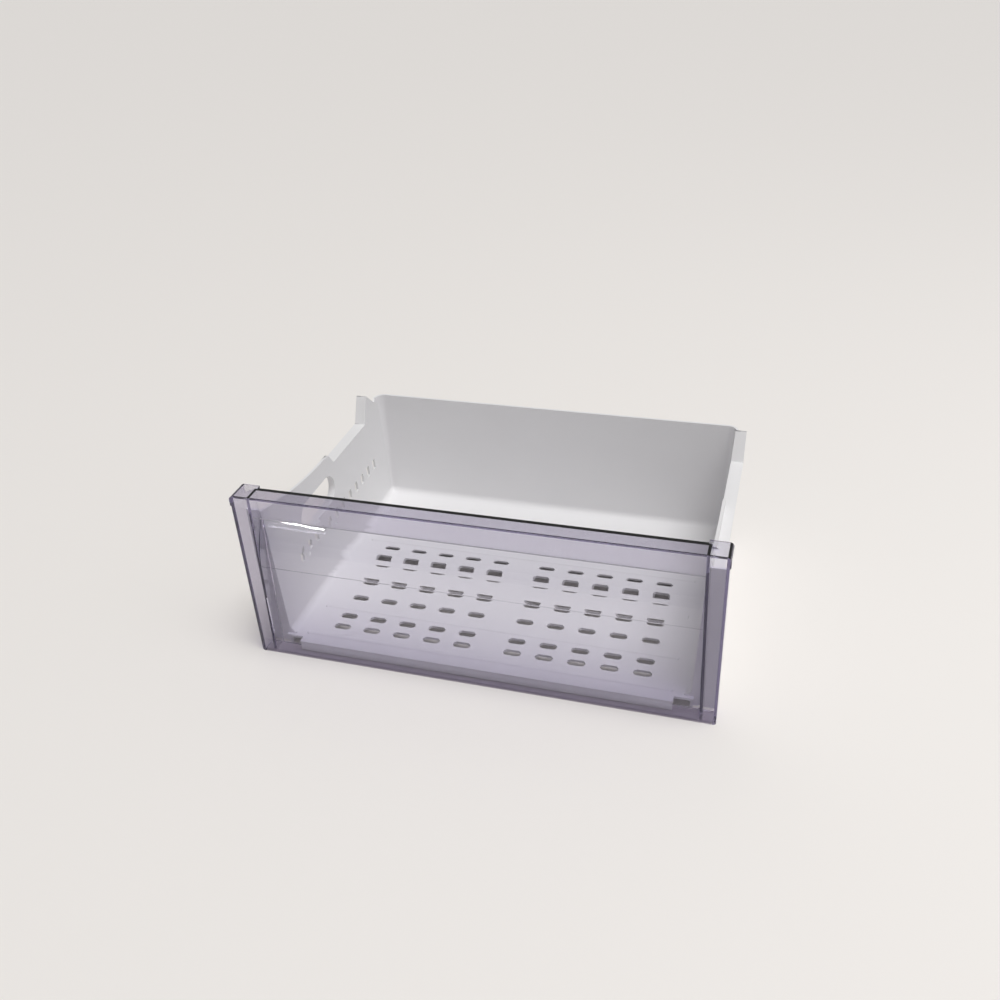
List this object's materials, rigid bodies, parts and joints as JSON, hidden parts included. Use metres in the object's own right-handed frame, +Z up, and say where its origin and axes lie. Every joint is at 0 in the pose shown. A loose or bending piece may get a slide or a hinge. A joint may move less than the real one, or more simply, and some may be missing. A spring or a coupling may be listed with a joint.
{
  "type": "freezer drawer",
  "caption": "Freezer drawer: white moulded basket with slotted floor, hand holes and runner ledges, closed by a clear front panel with a moulded finger recess.",
  "frame": {"origin": "Under the middle of the drawer, at the height of the panel's foot and the basket's skirt", "axes": "+X to the drawer's right seen from the front, +Y to the back of the fridge, +Z up"},
  "size_m": [0.427, 0.288, 0.173],
  "materials": {
    "white_moulding": "fine-grained white polystyrene",
    "clear_moulding": "polished clear styrene with a faint lilac tint"
  },
  "bodies": {
    "root": {"basket": "white_moulding", "front_panel": "clear_moulding"}
  },
  "joints": []
}
